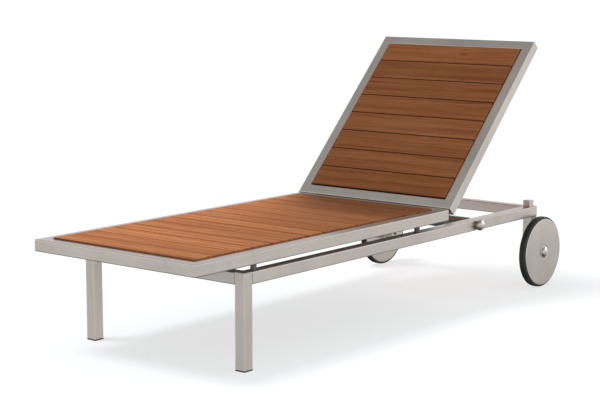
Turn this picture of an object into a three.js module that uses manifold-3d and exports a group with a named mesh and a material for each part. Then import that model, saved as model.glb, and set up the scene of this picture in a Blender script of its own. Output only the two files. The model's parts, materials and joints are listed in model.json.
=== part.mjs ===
// Reclining sun lounger: stainless box-section frame, teak slats, two rear wheels.
// Millimetres, +Z up. X is the width, the foot end points to -Y and the head end to +Y.
// The origin is on the ground, under the middle of the lounger with its back raised.

import * as THREE from 'three';
import { mergeVertices } from 'three/addons/utils/BufferGeometryUtils.js';
import Module from 'manifold-3d';

const wasm = await Module();
wasm.setup();

// ---------------------------------------------------------------- driving dimensions

const TUBE = 40; // outside of the square frame tube
const WALL = 1.5; // wall of the frame tube
const TUBE_CORNER = 3.5; // outer corner radius of the frame tube
const SEAM = 0.3; // hairline left between pieces that meet

const WIDTH = 700; // seat, back and base are all this wide
const SEAT_LENGTH = 1343;
const SEAT_TOP = 372; // top of the seat frame above the ground
const DECK_GAP = 20; // air between the base and the seat frame
const BACK_LENGTH = 810;
const RECLINE = 45.5; // degrees of the raised back above the horizontal

const LEG_FRONT = 220; // front of the legs, measured from the foot end
const BASE_REAR = 1965; // rear end of the base, measured from the foot end
const GLIDE_HEIGHT = 5;
const GLIDE_PLUG = 14; // height of the glide's plug inside the leg

const SLAT_THICKNESS = 22;
const SLAT_PROUD = 5; // slats stand this far above their frame
const SLAT_EDGE_GAP = 2.5; // between the slats and the frame around them
const SLAT_GAP = 3; // between neighbouring slats
const SLAT_CHAMFER = 1.5;
const SEAT_SLATS = 14;
const BACK_SLATS = 8;

const BATTEN_WIDTH = 30;
const BATTEN_THICKNESS = 6;
const SEAT_BATTEN_X = 200;
const BACK_BATTEN_X = 225;

const HINGE_Y = SEAT_LENGTH + 6; // recline axis, from the foot end
const HINGE_DROP = 4.5; // recline axis below the seat frame's top
const HINGE_LENGTH = 80;
const HINGE_X = 302; // middle of each hinge
const KNUCKLE_RADIUS = 4.2;
const HINGE_PIN_RADIUS = 2;
const LEAF_THICKNESS = 2;
const LEAF_DEPTH = 27;
const KNUCKLE_CLEAR = 6; // below the axis, where only a leaf's own knuckles reach
const BACK_START = 6; // the back's lower end, from the recline axis

const PROP_Y = 1537; // prop pivot, from the foot end
const PROP_Z = 292;
const PROP_LENGTH = 350; // prop pivot to the middle of its head bar
const PROP_TUBE_RADIUS = 24;
const PROP_PLUG = 8; // thickness of the plug in each end of the prop's cross tube
const PROP_TUBE_CLEARANCE = 2; // cross tube to the side rail
const PROP_STUD_RADIUS = 6;
const PROP_STUD_IN_KNOB = 8; // how far the stud reaches into the knob's grip
const STUD_CLEARANCE = 0.5; // round the stud, where it passes through the side rail
const DRAIN_RADIUS = 3;
const PROP_HEAD_RADIUS = 7;
const PROP_HEAD_OVERHANG = 15; // head bar beyond the middle of each rack
const PROP_ARM_X = 206;
const PROP_ARM_THICKNESS = 10;
const PROP_ARM_DEPTH = 22;
const PROP_HEAD_OFFSET = 42; // head bar behind the recline axis, square to the raised back
const RACK_THICKNESS = 8;
const RACK_CLEARANCE = 0.5;
const RACK_HOOK = 4; // the rack's end stop reaches this far below the raised head bar
const RACK_OVERRUN = 16; // rack beyond the head bar's travel, at each end
const RACK_STEPS = 12;
const NOTCH_DEPTH = 8;
const NOTCH_COUNT = 5;

const KNOB_RADIUS = 20;
const KNOB_THICKNESS = 18;
const KNOB_STANDOFF = 6;
const KNOB_NECK_RADIUS = 11;
const KNOB_BACK_ROUND = 4; // rounding of the grip's back edge
const KNOB_DOME = 10; // height of the grip's domed face

const WHEEL_RADIUS = 137;
const WHEEL_DISC_RADIUS = 129;
const WHEEL_WIDTH = 26; // of the tyre
const WHEEL_INSET = 15; // side of the base to the inner face of the wheel
const WHEEL_SHEET = 2.5; // thickness of each of the wheel's two discs
const WHEEL_PROUD = 3; // the outer disc's edge stands this far beyond the tyre
const WHEEL_DOME = 4; // and its middle this much further
const WHEEL_FLANGE = 6; // depth of the outer disc's thick edge
const HUB_RADIUS = 20;
const TYRE_LIP = 3; // the tyre wraps this much of the discs' rims
const TYRE_FOOT = 10; // and reaches this far down between them
const AXLE_RADIUS = 6;
const AXLE_CLEARANCE = 0.4;
const WASHER_RADIUS = 13;
const NUT_RADIUS = 9;
const NUT_THICKNESS = 9;
const HUB_CAP_RADIUS = 19;
const HUB_CAP_HEIGHT = 9;
const HUB_CAP_RIM = 2; // straight side of the cap, below its dome
const POST_BOTTOM = 108;

const SPACER_RADIUS = 10;
const SPACER_FRONT = 287; // seat spacers, from the foot end
const SPACER_REAR = 1173;
const STUB_SIZE = 30;
const STUB_HEIGHT = 26;
const STUB_CORNER = 2;
const STUB_FRONT = 1909; // front of the back rests, from the foot end

// ---------------------------------------------------------------- worked-out places

const HALF = WIDTH / 2;
const RAIL_X = HALF - TUBE / 2; // middle of the side rails
const INNER = HALF - TUBE; // inside of the side rails
const SEAT_UNDER = SEAT_TOP - TUBE;
const BASE_TOP = SEAT_UNDER - DECK_GAP;
const BASE_UNDER = BASE_TOP - TUBE;
const AXLE_Y = BASE_REAR - TUBE / 2;
const LENGTH = AXLE_Y + WHEEL_RADIUS;
const HINGE_Z = SEAT_TOP - HINGE_DROP;
const SLAT_LENGTH = 2 * (INNER - SLAT_EDGE_GAP);
const SIDES = [['left', -1], ['right', 1]];
const FULL_ROUND = 0.01; // shy of a half width, so that a rounded end keeps a short flat

// Distances along the lounger are measured from the foot end, and moved here.
const fromFoot = (y) => y - LENGTH / 2;

// ---------------------------------------------------------------- materials

function finish(color, roughness, metalness) {
  return new THREE.MeshStandardMaterial({ color, roughness, metalness });
}

const steel = () => finish(0xb4ada6, 0.38, 1);
const plate = () => finish(0xaea59d, 0.42, 1);
const teak = () => finish(0xa56b46, 0.6, 0);
const rubber = () => finish(0x14211c, 0.8, 0);
const nylon = () => finish(0x1c1c1c, 0.7, 0);

// ---------------------------------------------------------------- shape helpers

// A square or rectangular outline with round corners, centred on the origin.
function roundedOutline(width, height, radius) {
  const x = width / 2 - radius;
  const y = height / 2 - radius;
  const outline = new THREE.Shape();
  outline.absarc(x, y, radius, 0, Math.PI / 2);
  outline.absarc(-x, y, radius, Math.PI / 2, Math.PI);
  outline.absarc(-x, -y, radius, Math.PI, 1.5 * Math.PI);
  outline.absarc(x, -y, radius, 1.5 * Math.PI, 2 * Math.PI);
  return outline;
}

function squareHole(size) {
  const half = size / 2;
  const hole = new THREE.Path();
  hole.moveTo(-half, -half);
  hole.lineTo(-half, half);
  hole.lineTo(half, half);
  hole.lineTo(half, -half);
  hole.closePath();
  return hole;
}

// Extrudes an outline along +Z, from 0 to the given length.
function extrude(outline, length, curveSegments = 3) {
  return new THREE.ExtrudeGeometry(outline, { depth: length, bevelEnabled: false, curveSegments });
}

// Turns a geometry built along +Z so that it runs along +X or +Y.
function alongX(geometry) {
  return geometry.rotateY(Math.PI / 2);
}

function alongY(geometry) {
  return geometry.rotateX(-Math.PI / 2);
}

function toSolid(geometry) {
  const bare = geometry.clone();
  bare.deleteAttribute('normal');
  bare.deleteAttribute('uv');
  const merged = mergeVertices(bare, 1e-4);
  return new wasm.Manifold(new wasm.Mesh({
    numProp: 3,
    vertProperties: new Float32Array(merged.attributes.position.array),
    triVerts: new Uint32Array(merged.index.array),
  }));
}

function toGeometry(solid) {
  const mesh = solid.getMesh();
  const geometry = new THREE.BufferGeometry();
  geometry.setAttribute('position', new THREE.BufferAttribute(new Float32Array(mesh.vertProperties), 3));
  geometry.setIndex(new THREE.BufferAttribute(new Uint32Array(mesh.triVerts), 1));
  return geometry.toNonIndexed();
}

function join(first, ...others) {
  let solid = toSolid(first);
  for (const other of others) {
    solid = solid.add(toSolid(other));
  }
  return toGeometry(solid);
}

function cut(body, ...tools) {
  let solid = toSolid(body);
  for (const tool of tools) {
    solid = solid.subtract(toSolid(tool));
  }
  return toGeometry(solid);
}

// A round bar along X, from one end to the other.
function roundBarX(radius, fromX, toX, sides = 20) {
  const bar = new THREE.CylinderGeometry(radius, radius, toX - fromX, sides);
  return bar.rotateZ(Math.PI / 2).translate((fromX + toX) / 2, 0, 0);
}

function box(sizeX, sizeY, sizeZ) {
  return new THREE.BoxGeometry(sizeX, sizeY, sizeZ);
}

// A hollow frame tube along +Z with open ends.
function openTube(length) {
  const outline = roundedOutline(TUBE, TUBE, TUBE_CORNER);
  outline.holes.push(squareHole(TUBE - 2 * WALL));
  return extrude(outline, length);
}

// A frame tube along +Z, open at its start and closed by a welded plate at its far end.
function closedTube(length) {
  const body = extrude(roundedOutline(TUBE, TUBE, TUBE_CORNER), length);
  const bore = box(TUBE - 2 * WALL, TUBE - 2 * WALL, length).translate(0, 0, length / 2 - WALL);
  return cut(body, bore);
}

// A hollow tube along +Z whose two ends are cut at 45 degrees, shorter on the -X side.
function mitredTube(length) {
  const tube = openTube(length);
  const position = tube.attributes.position;
  for (let i = 0; i < position.count; i += 1) {
    const inward = TUBE / 2 - position.getX(i) + SEAM;
    const z = position.getZ(i);
    position.setZ(i, z > length / 2 ? z - inward : z + inward);
  }
  return tube;
}

// A turned piece around the X axis. Points are [x, radius] pairs of its outline.
function turned(points, segments = 48) {
  const profile = points.map(([x, radius]) => new THREE.Vector2(radius, x));
  return new THREE.LatheGeometry(profile, segments).rotateZ(-Math.PI / 2);
}

// The outline of a dome on a turned piece, from the step after its rim to its middle.
function domePoints(x, radius, height) {
  const steps = 6;
  const points = [];
  for (let i = 1; i <= steps; i += 1) {
    const angle = (i / steps) * (Math.PI / 2);
    points.push([x + height * Math.sin(angle), i === steps ? 0 : radius * Math.cos(angle)]);
  }
  return points;
}

function mesh(name, geometry, material, parent) {
  const part = new THREE.Mesh(geometry, material);
  part.name = name;
  parent.add(part);
  return part;
}

// ---------------------------------------------------------------- slatted frames

// Four mitred tubes in the XY plane: a rectangle of the full width, from 0 to the length.
function addFrame(group, prefix, length, ends, sideGeometry) {
  for (const [side, sign] of SIDES) {
    const rail = mesh(`${prefix}_side_rail_${side}`, sideGeometry(length, sign), steel(), group);
    rail.position.set(sign * RAIL_X, 0, 0);
  }
  const [nearEnd, farEnd] = ends;
  const cross = () => alongX(mitredTube(WIDTH));
  const near = mesh(`${prefix}_${nearEnd}_rail`, cross().rotateX(-Math.PI / 2), steel(), group);
  near.position.set(-HALF, TUBE / 2, 0);
  const far = mesh(`${prefix}_${farEnd}_rail`, cross().rotateX(Math.PI / 2), steel(), group);
  far.position.set(-HALF, length - TUBE / 2, 0);
}

// A mitred side rail whose short side faces the middle of the frame.
function sideRail(length, sign) {
  return alongY(mitredTube(length).rotateZ(sign > 0 ? 0 : Math.PI));
}

function slatGeometry(width) {
  const outline = roundedOutline(SLAT_THICKNESS, width, SLAT_CHAMFER);
  return alongX(extrude(outline, SLAT_LENGTH, 2)).translate(-SLAT_LENGTH / 2, 0, 0);
}

function addSlats(group, prefix, count, length, z) {
  const first = TUBE + SLAT_EDGE_GAP;
  const pitch = (length - 2 * first + SLAT_GAP) / count;
  for (let i = 0; i < count; i += 1) {
    const number = String(i + 1).padStart(2, '0');
    const slat = mesh(`${prefix}_slat_${number}`, slatGeometry(pitch - SLAT_GAP), teak(), group);
    slat.position.set(0, first + (i + 0.5) * pitch - SLAT_GAP / 2, z);
  }
}

// ---------------------------------------------------------------- base

function addBase(group) {
  const railStart = LEG_FRONT + TUBE;
  const railLength = BASE_REAR - railStart;
  const railMiddle = BASE_UNDER + TUBE / 2;
  const studHole = roundBarX(PROP_STUD_RADIUS + STUD_CLEARANCE, -TUBE, TUBE);
  studHole.translate(0, PROP_Y - railStart, PROP_Z - railMiddle);
  for (const [side, sign] of SIDES) {
    const railGeometry = cut(alongY(closedTube(railLength)), studHole);
    const rail = mesh(`base_side_rail_${side}`, railGeometry, steel(), group);
    rail.position.set(sign * RAIL_X, fromFoot(railStart), railMiddle);

    const leg = mesh(`front_leg_${side}`, closedTube(BASE_TOP - GLIDE_HEIGHT), steel(), group);
    leg.position.set(sign * RAIL_X, fromFoot(LEG_FRONT + TUBE / 2), GLIDE_HEIGHT);

    const glide = mesh(`leg_glide_${side}`, glideGeometry(), nylon(), group);
    glide.position.set(sign * RAIL_X, fromFoot(LEG_FRONT + TUBE / 2), 0);

    const post = mesh(`wheel_post_${side}`, postGeometry(), steel(), group);
    post.position.set(sign * RAIL_X, fromFoot(AXLE_Y), POST_BOTTOM);

    const stub = mesh(`back_rest_stub_${side}`, stubGeometry(), steel(), group);
    stub.position.set(sign * (HALF - STUB_SIZE / 2), fromFoot(STUB_FRONT + STUB_SIZE / 2), BASE_TOP);
  }
  for (const [end, middle] of [['front', LEG_FRONT + TUBE / 2], ['rear', AXLE_Y]]) {
    const rail = mesh(`base_${end}_cross_rail`, alongX(openTube(2 * INNER)), steel(), group);
    rail.position.set(-INNER, fromFoot(middle), railMiddle);
  }
}

// A plug that fills the open bottom of a leg, with a pad that stands on the ground.
function glideGeometry() {
  const padSize = TUBE - 1;
  const plugSize = TUBE - 2 * WALL - 2 * SEAM;
  const plugStart = GLIDE_HEIGHT - 1; // inside the pad, so that the two join
  const pad = extrude(roundedOutline(padSize, padSize, TUBE_CORNER), GLIDE_HEIGHT - SEAM);
  const plug = box(plugSize, plugSize, GLIDE_PLUG).translate(0, 0, plugStart + GLIDE_PLUG / 2);
  return join(pad, plug);
}

// A post closed at the bottom, open where it meets the rail, with a hole for the axle.
function postGeometry() {
  const height = BASE_UNDER - POST_BOTTOM;
  const body = closedTube(height).rotateX(Math.PI).translate(0, 0, height);
  const hole = roundBarX(AXLE_RADIUS + AXLE_CLEARANCE, -TUBE, TUBE);
  return cut(body, hole.translate(0, 0, WHEEL_RADIUS - POST_BOTTOM));
}

function stubGeometry() {
  return extrude(roundedOutline(STUB_SIZE, STUB_SIZE, STUB_CORNER), STUB_HEIGHT);
}

// ---------------------------------------------------------------- seat

function addSeat(group) {
  const seat = new THREE.Group();
  seat.position.set(0, fromFoot(0), SEAT_TOP - TUBE / 2);
  group.add(seat);
  addFrame(seat, 'seat', SEAT_LENGTH, ['front', 'rear'], seatSideRail);
  const slatMiddle = SLAT_PROUD - SLAT_THICKNESS / 2 + TUBE / 2;
  addSlats(seat, 'seat', SEAT_SLATS, SEAT_LENGTH, slatMiddle);
  const battenLength = SEAT_LENGTH - 2 * (TUBE + SEAM);
  const battenMiddle = slatMiddle - SLAT_THICKNESS / 2 - BATTEN_THICKNESS / 2 - SEAM;
  for (const [side, sign] of SIDES) {
    const bar = box(BATTEN_WIDTH, battenLength, BATTEN_THICKNESS);
    const batten = mesh(`seat_batten_${side}`, bar, steel(), seat);
    batten.position.set(sign * SEAT_BATTEN_X, SEAT_LENGTH / 2, battenMiddle);
  }
}

// A seat rail with the two round spacers that carry it on the base.
function seatSideRail(length, sign) {
  const rail = sideRail(length, sign);
  const spacers = [SPACER_FRONT, SPACER_REAR].map((y) => {
    const height = DECK_GAP + WALL / 2 - SEAM;
    const spacer = new THREE.CylinderGeometry(SPACER_RADIUS, SPACER_RADIUS, height, 20);
    return spacer.rotateX(Math.PI / 2).translate(0, y, -TUBE / 2 + WALL / 2 - height / 2);
  });
  return join(rail, ...spacers);
}

// ---------------------------------------------------------------- recline hinges

// One leaf of a butt hinge, hanging below the recline axis at the given distance from it.
// Each knuckle is joined to the leaf by a short tab, and the rest of the leaf stays clear
// of the other leaf's knuckles.
function hingeLeaf(leafY, knuckles) {
  const body = box(HINGE_LENGTH, LEAF_THICKNESS, LEAF_DEPTH - KNUCKLE_CLEAR);
  const tab = KNUCKLE_CLEAR + 1; // reaches into the leaf, so that the two join
  const bridge = 3;
  const pieces = knuckles.flatMap(([from, to]) => {
    const middle = (from + to) / 2;
    return [
      box(to - from, LEAF_THICKNESS, tab).translate(middle, leafY, -tab / 2),
      box(to - from, Math.abs(leafY), bridge).translate(middle, leafY / 2, -bridge / 2),
      roundBarX(KNUCKLE_RADIUS, from, to),
    ];
  });
  return join(body.translate(0, leafY, -(LEAF_DEPTH + KNUCKLE_CLEAR) / 2), ...pieces);
}

// The seat's leaf stands on the rear face of the seat frame. Its two outer knuckles hold the pin.
function addSeatHingeLeaves(group) {
  for (const [side, sign] of SIDES) {
    const end = HINGE_LENGTH / 2;
    const knuckle = HINGE_LENGTH / 4;
    const leafY = SEAT_LENGTH + SEAM + LEAF_THICKNESS / 2 - HINGE_Y;
    const plain = hingeLeaf(leafY, [[-end, -end + knuckle], [end - knuckle, end]]);
    const geometry = join(plain, roundBarX(HINGE_PIN_RADIUS, -end + 1, end - 1));
    const leaf = mesh(`hinge_seat_leaf_${side}`, geometry, plate(), group);
    leaf.position.set(sign * HINGE_X, fromFoot(HINGE_Y), HINGE_Z);
  }
}

// The back's leaf lies on the lower end of the back frame. Its middle knuckle turns on the pin.
function addBackHingeLeaves(back) {
  for (const [side, sign] of SIDES) {
    const half = HINGE_LENGTH / 4 - SEAM;
    const leafY = BACK_START - SEAM - LEAF_THICKNESS / 2;
    const plain = hingeLeaf(leafY, [[-half, half]]);
    const geometry = cut(plain, roundBarX(HINGE_PIN_RADIUS + SEAM, -half - 1, half + 1));
    const leaf = mesh(`hinge_back_leaf_${side}`, geometry, plate(), back);
    leaf.position.set(sign * HINGE_X, 0, 0);
  }
}

// ---------------------------------------------------------------- prop and its racks

const radians = THREE.MathUtils.degToRad;

// Angle of the raised prop above the horizontal, which puts its head bar the set
// distance behind the recline axis, square to the raised back.
function raisedPropAngle() {
  const y = PROP_Y - HINGE_Y;
  const z = PROP_Z - HINGE_Z;
  const offsetOfPivot = y * Math.sin(radians(RECLINE)) - z * Math.cos(radians(RECLINE));
  return radians(RECLINE) + Math.asin((offsetOfPivot - PROP_HEAD_OFFSET) / PROP_LENGTH);
}

// Place of the head bar in the back's own frame, with the back lowered by a fraction.
// The prop folds down in step with the back, and both are flat at a fraction of 1.
function headBarOnBack(fraction) {
  const recline = radians(RECLINE) * (1 - fraction);
  const prop = raisedPropAngle() * (1 - fraction);
  const y = PROP_Y + PROP_LENGTH * Math.cos(prop) - HINGE_Y;
  const z = PROP_Z + PROP_LENGTH * Math.sin(prop) - HINGE_Z;
  return new THREE.Vector2(
    y * Math.cos(recline) + z * Math.sin(recline),
    z * Math.cos(recline) - y * Math.sin(recline),
  );
}

// A notched plate under the back. Its lower edge follows the head bar's path, each notch
// is where the bar can drop in, and a hook stops the bar at the most upright setting.
function rackGeometry(topZ) {
  const reach = PROP_HEAD_RADIUS + RACK_CLEARANCE;
  const path = [];
  for (let i = 0; i <= RACK_STEPS; i += 1) {
    path.push(headBarOnBack(i / RACK_STEPS));
  }
  const first = path[0];
  const last = path[RACK_STEPS];
  const outline = new THREE.Shape();
  outline.moveTo(first.x - RACK_OVERRUN, topZ);
  outline.lineTo(first.x - RACK_OVERRUN, first.y - RACK_HOOK);
  outline.lineTo(first.x - reach, first.y - RACK_HOOK);
  for (const point of path) {
    outline.lineTo(point.x, point.y + reach);
  }
  outline.lineTo(last.x + RACK_OVERRUN, last.y + reach);
  outline.lineTo(last.x + RACK_OVERRUN, topZ);
  outline.closePath();
  const blade = extrude(outline, RACK_THICKNESS);
  const notches = [];
  for (let i = 0; i < NOTCH_COUNT; i += 1) {
    const seat = headBarOnBack(i / (NOTCH_COUNT - 1));
    const width = 2 * reach;
    const slot = roundedOutline(width, width + NOTCH_DEPTH, reach - FULL_ROUND);
    const notch = extrude(slot, 3 * RACK_THICKNESS, 5);
    notches.push(notch.translate(seat.x, seat.y + NOTCH_DEPTH / 2, -RACK_THICKNESS));
  }
  // The outline lies in the back's YZ plane, so it is turned from XY to YZ.
  const turn = new THREE.Matrix4().makeBasis(
    new THREE.Vector3(0, 1, 0),
    new THREE.Vector3(0, 0, 1),
    new THREE.Vector3(1, 0, 0),
  );
  return cut(blade, ...notches).applyMatrix4(turn).translate(-RACK_THICKNESS / 2, 0, 0);
}

// The prop's cross tube, plugged at both ends and drained by a hole in its underside.
function propTube(end) {
  const outside = roundBarX(PROP_TUBE_RADIUS, -end, end, 28);
  const hollow = roundBarX(PROP_TUBE_RADIUS - WALL, PROP_PLUG - end, end - PROP_PLUG, 28);
  const drain = new THREE.CylinderGeometry(DRAIN_RADIUS, DRAIN_RADIUS, PROP_TUBE_RADIUS, 12);
  return cut(outside, hollow, drain.translate(0, -PROP_TUBE_RADIUS, 0));
}

function addProp(group) {
  const prop = new THREE.Group();
  prop.position.set(0, fromFoot(PROP_Y), PROP_Z);
  prop.rotation.x = raisedPropAngle();
  group.add(prop);
  const studEnd = HALF + KNOB_STANDOFF + PROP_STUD_IN_KNOB;
  const headEnd = BACK_BATTEN_X + PROP_HEAD_OVERHANG;
  const tubeEnd = INNER - PROP_TUBE_CLEARANCE;
  const arms = SIDES.map(([, sign]) => {
    const endRadius = PROP_ARM_DEPTH / 2 - FULL_ROUND;
    const flat = roundedOutline(PROP_ARM_DEPTH, PROP_LENGTH + PROP_ARM_DEPTH, endRadius);
    const arm = alongX(extrude(flat, PROP_ARM_THICKNESS, 5));
    return arm.translate(sign * PROP_ARM_X - PROP_ARM_THICKNESS / 2, PROP_LENGTH / 2, 0);
  });
  const studs = SIDES.map(([, sign]) => {
    const stud = roundBarX(PROP_STUD_RADIUS, tubeEnd - PROP_PLUG, studEnd);
    return sign > 0 ? stud : stud.rotateZ(Math.PI);
  });
  const geometry = join(
    propTube(tubeEnd),
    roundBarX(PROP_HEAD_RADIUS, -headEnd, headEnd).translate(0, PROP_LENGTH, 0),
    ...studs,
    ...arms,
  );
  mesh('prop_frame', geometry, steel(), prop);
  for (const [side, sign] of SIDES) {
    const knob = mesh(`hand_knob_${side}`, knobGeometry(), plate(), prop);
    knob.rotation.y = sign > 0 ? 0 : Math.PI;
  }
}

// A turned knob with a domed face and a narrow neck, drilled for the prop's stud.
function knobGeometry() {
  const neckStart = HALF + SEAM;
  const back = HALF + KNOB_STANDOFF;
  const domeStart = back + KNOB_THICKNESS - KNOB_DOME;
  const boreEnd = back + PROP_STUD_IN_KNOB + SEAM;
  const bore = PROP_STUD_RADIUS + SEAM;
  return turned([
    [boreEnd, 0],
    [boreEnd, bore],
    [neckStart, bore],
    [neckStart, KNOB_NECK_RADIUS],
    [back, KNOB_NECK_RADIUS],
    [back, KNOB_RADIUS - KNOB_BACK_ROUND],
    [back + KNOB_BACK_ROUND, KNOB_RADIUS],
    [domeStart, KNOB_RADIUS],
    ...domePoints(domeStart, KNOB_RADIUS, KNOB_DOME),
  ], 28);
}

// ---------------------------------------------------------------- back

function addBack(group) {
  const back = new THREE.Group();
  back.position.set(0, fromFoot(HINGE_Y), HINGE_Z);
  back.rotation.x = radians(RECLINE);
  group.add(back);

  const panel = new THREE.Group();
  panel.position.set(0, BACK_START, HINGE_DROP - TUBE / 2);
  back.add(panel);
  addFrame(panel, 'back', BACK_LENGTH, ['bottom', 'top'], sideRail);
  const slatMiddle = SLAT_PROUD - SLAT_THICKNESS / 2 + TUBE / 2;
  addSlats(panel, 'back', BACK_SLATS, BACK_LENGTH, slatMiddle);

  const slatUnder = HINGE_DROP + SLAT_PROUD - SLAT_THICKNESS;
  const battenTop = slatUnder - SEAM;
  const battenLength = BACK_LENGTH - 2 * (TUBE + SEAM);
  for (const [side, sign] of SIDES) {
    const bar = box(BATTEN_WIDTH, battenLength, BATTEN_THICKNESS);
    bar.translate(0, BACK_START + BACK_LENGTH / 2, battenTop - BATTEN_THICKNESS / 2);
    const geometry = join(bar, rackGeometry(battenTop - BATTEN_THICKNESS / 2));
    const batten = mesh(`back_batten_rack_${side}`, geometry, steel(), back);
    batten.position.set(sign * BACK_BATTEN_X, 0, 0);
  }
  addBackHingeLeaves(back);
}

// ---------------------------------------------------------------- wheels

function addWheels(group) {
  for (const [side, sign] of SIDES) {
    const wheel = new THREE.Group();
    wheel.position.set(0, fromFoot(AXLE_Y), WHEEL_RADIUS);
    wheel.rotation.z = sign > 0 ? 0 : Math.PI;
    group.add(wheel);
    mesh(`tyre_${side}`, tyreGeometry(), rubber(), wheel);
    mesh(`wheel_disc_${side}`, wheelDiscGeometry(), plate(), wheel);
    mesh(`wheel_axle_${side}`, axleGeometry(), plate(), wheel);
  }
}

// A solid tyre that wraps the rims of both discs and reaches in between them.
function tyreGeometry() {
  const inner = HALF + WHEEL_INSET;
  const outer = inner + WHEEL_WIDTH;
  const rim = WHEEL_DISC_RADIUS + SEAM;
  const foot = WHEEL_DISC_RADIUS - TYRE_FOOT;
  // The shoulder, from the side of the tyre to its tread, as [inwards, down] steps.
  const shoulder = [[0, 4], [1.5, 1], [5, 0]];
  return turned([
    [inner + TYRE_LIP, foot],
    [inner + TYRE_LIP, rim],
    [inner, rim],
    ...shoulder.map(([inwards, down]) => [inner + inwards, WHEEL_RADIUS - down]),
    ...shoulder.toReversed().map(([inwards, down]) => [outer - inwards, WHEEL_RADIUS - down]),
    [outer, rim],
    [outer - TYRE_LIP, rim],
    [outer - TYRE_LIP, foot],
    [inner + TYRE_LIP, foot],
  ]);
}

// Two steel discs on one hub sleeve, with the tyre held between their rims. The outer disc
// is slightly domed.
function wheelDiscGeometry() {
  const inner = HALF + WHEEL_INSET;
  const outer = inner + WHEEL_WIDTH;
  const face = outer + WHEEL_PROUD;
  const bore = AXLE_RADIUS + SEAM;
  const edge = 1;
  const flange = WHEEL_DISC_RADIUS - WHEEL_FLANGE;
  const domeAt = (radius) => face + WHEEL_DOME * (1 - (radius / WHEEL_DISC_RADIUS) ** 2);
  const rings = [HUB_RADIUS];
  for (let i = 1; i <= 3; i += 1) {
    rings.push(HUB_RADIUS + (i / 3) * (flange - HUB_RADIUS));
  }
  return turned([
    [inner, bore],
    [inner, WHEEL_DISC_RADIUS - edge],
    [inner + edge, WHEEL_DISC_RADIUS],
    [inner + WHEEL_SHEET, WHEEL_DISC_RADIUS],
    [inner + WHEEL_SHEET, HUB_RADIUS],
    ...rings.map((radius) => [domeAt(radius) - WHEEL_SHEET, radius]),
    [outer - WHEEL_SHEET, flange + edge],
    [outer - WHEEL_SHEET, WHEEL_DISC_RADIUS],
    [face - edge, WHEEL_DISC_RADIUS],
    [face, WHEEL_DISC_RADIUS - edge],
    ...rings.toReversed().map((radius) => [domeAt(radius), radius]),
    [domeAt(bore), bore],
    [inner, bore],
  ]);
}

// A stub axle through the post: nut inside, washer against the post, domed cap outside.
function axleGeometry() {
  const wheelInner = HALF + WHEEL_INSET;
  const wheelOuter = wheelInner + WHEEL_WIDTH + WHEEL_PROUD + WHEEL_DOME;
  const capBase = wheelOuter + SEAM;
  const domeHeight = HUB_CAP_HEIGHT - HUB_CAP_RIM;
  const nutStart = INNER - NUT_THICKNESS;
  return turned([
    [nutStart, 0],
    [nutStart, NUT_RADIUS],
    [INNER - SEAM, NUT_RADIUS],
    [INNER - SEAM, AXLE_RADIUS],
    [HALF + SEAM, AXLE_RADIUS],
    [HALF + SEAM, WASHER_RADIUS],
    [wheelInner - SEAM, WASHER_RADIUS],
    [wheelInner - SEAM, AXLE_RADIUS],
    [capBase, AXLE_RADIUS],
    [capBase, HUB_CAP_RADIUS],
    ...domePoints(capBase + HUB_CAP_RIM, HUB_CAP_RADIUS, domeHeight),
  ], 32);
}

// ---------------------------------------------------------------- the lounger

const lounger = new THREE.Group();
lounger.name = 'sun_lounger';
addBase(lounger);
addSeat(lounger);
addSeatHingeLeaves(lounger);
addBack(lounger);
addProp(lounger);
addWheels(lounger);

export default lounger;
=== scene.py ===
"""Looks of the reclining sun lounger: brushed steel tubes, teak slats, two solid wheels.

Metres, +Z up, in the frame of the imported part. Every place and size comes from the CAD
nodes and joints. Each piece is built in its own local frame with X along the grain, and
its local coordinates are kept on the mesh for the materials to read.
"""

import json
import math
import random

import bpy
import numpy as np
from mathutils import Matrix, Vector


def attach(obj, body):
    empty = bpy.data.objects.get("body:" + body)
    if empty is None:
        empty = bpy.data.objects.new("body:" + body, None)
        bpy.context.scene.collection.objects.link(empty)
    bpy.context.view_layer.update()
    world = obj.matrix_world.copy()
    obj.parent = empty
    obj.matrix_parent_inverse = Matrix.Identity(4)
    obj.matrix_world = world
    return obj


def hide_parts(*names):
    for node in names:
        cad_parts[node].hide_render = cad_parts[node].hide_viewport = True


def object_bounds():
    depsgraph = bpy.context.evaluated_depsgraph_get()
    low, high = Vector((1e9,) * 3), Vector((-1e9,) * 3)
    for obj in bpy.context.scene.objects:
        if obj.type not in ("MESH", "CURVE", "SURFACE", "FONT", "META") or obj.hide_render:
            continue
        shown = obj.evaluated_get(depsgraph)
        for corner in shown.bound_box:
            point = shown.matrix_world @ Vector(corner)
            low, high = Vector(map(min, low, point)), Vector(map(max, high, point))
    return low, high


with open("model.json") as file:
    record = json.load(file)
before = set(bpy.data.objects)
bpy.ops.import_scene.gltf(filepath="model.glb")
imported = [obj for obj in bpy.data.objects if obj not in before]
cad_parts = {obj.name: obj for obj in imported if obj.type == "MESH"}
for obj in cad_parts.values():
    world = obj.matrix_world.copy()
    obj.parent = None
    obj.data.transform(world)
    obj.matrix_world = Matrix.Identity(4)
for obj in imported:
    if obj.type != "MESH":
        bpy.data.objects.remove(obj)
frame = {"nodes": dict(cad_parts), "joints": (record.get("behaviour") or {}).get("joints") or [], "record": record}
CAD_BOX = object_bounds()
RECORD = frame["record"]
NODES = frame["nodes"]
JOINTS = {joint["name"]: joint for joint in frame["joints"]}
BODY_OF = {n: body for body, members in RECORD["behaviour"]["bodies"].items() for n in members}
SIDES = (("left", -1), ("right", 1))
random.seed(41)

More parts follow.
